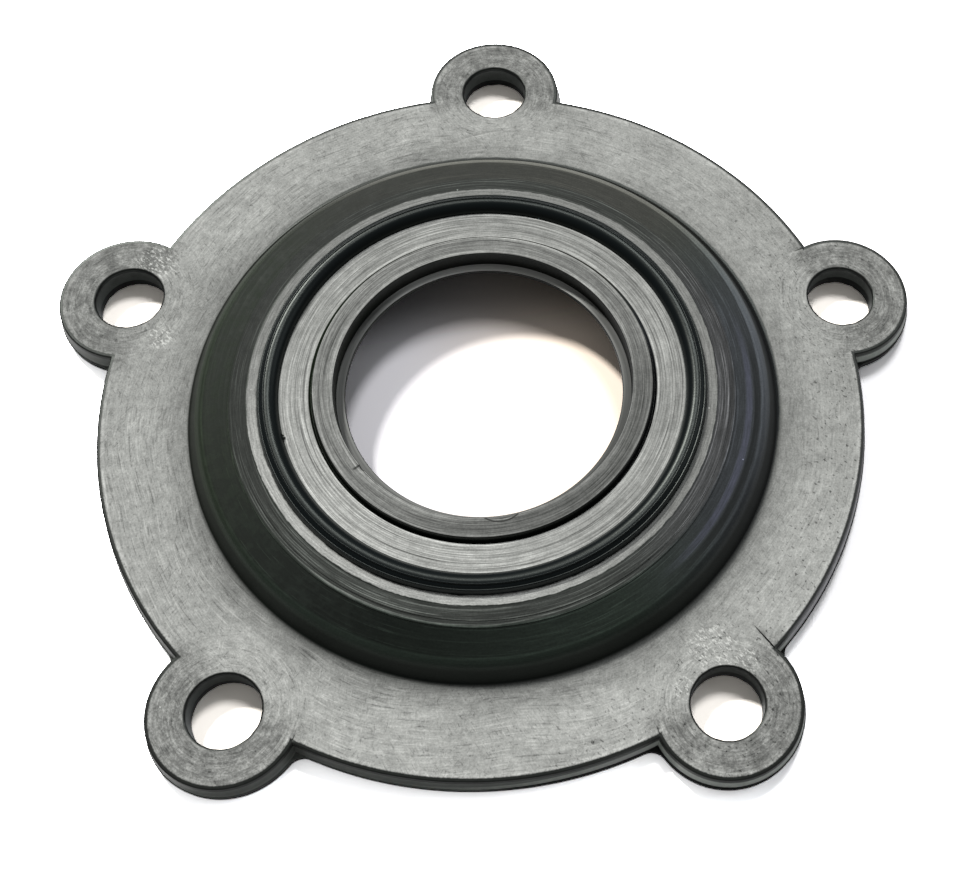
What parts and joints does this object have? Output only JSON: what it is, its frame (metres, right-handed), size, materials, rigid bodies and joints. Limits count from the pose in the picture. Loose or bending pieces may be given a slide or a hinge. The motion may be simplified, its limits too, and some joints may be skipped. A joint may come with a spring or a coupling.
{
  "type": "water heater element gasket",
  "caption": "Round black rubber flange gasket with bolt lobes around its rim and a raised, hollow centre that carries a sealing bead and rings around a large hole.",
  "frame": {"origin": "centre of the bolt circle in the plane of the flange's flat underside", "axes": "+Z along the axis of the bolt circle, towards the raised side with the sealing bead; one bolt lobe lies on +Y"},
  "size_m": [0.1164, 0.1117, 0.0101],
  "materials": {
    "black_rubber": "matte moulded rubber, buffed grey on its flat faces"
  },
  "bodies": {
    "root": {"gasket": "black_rubber"}
  },
  "joints": []
}
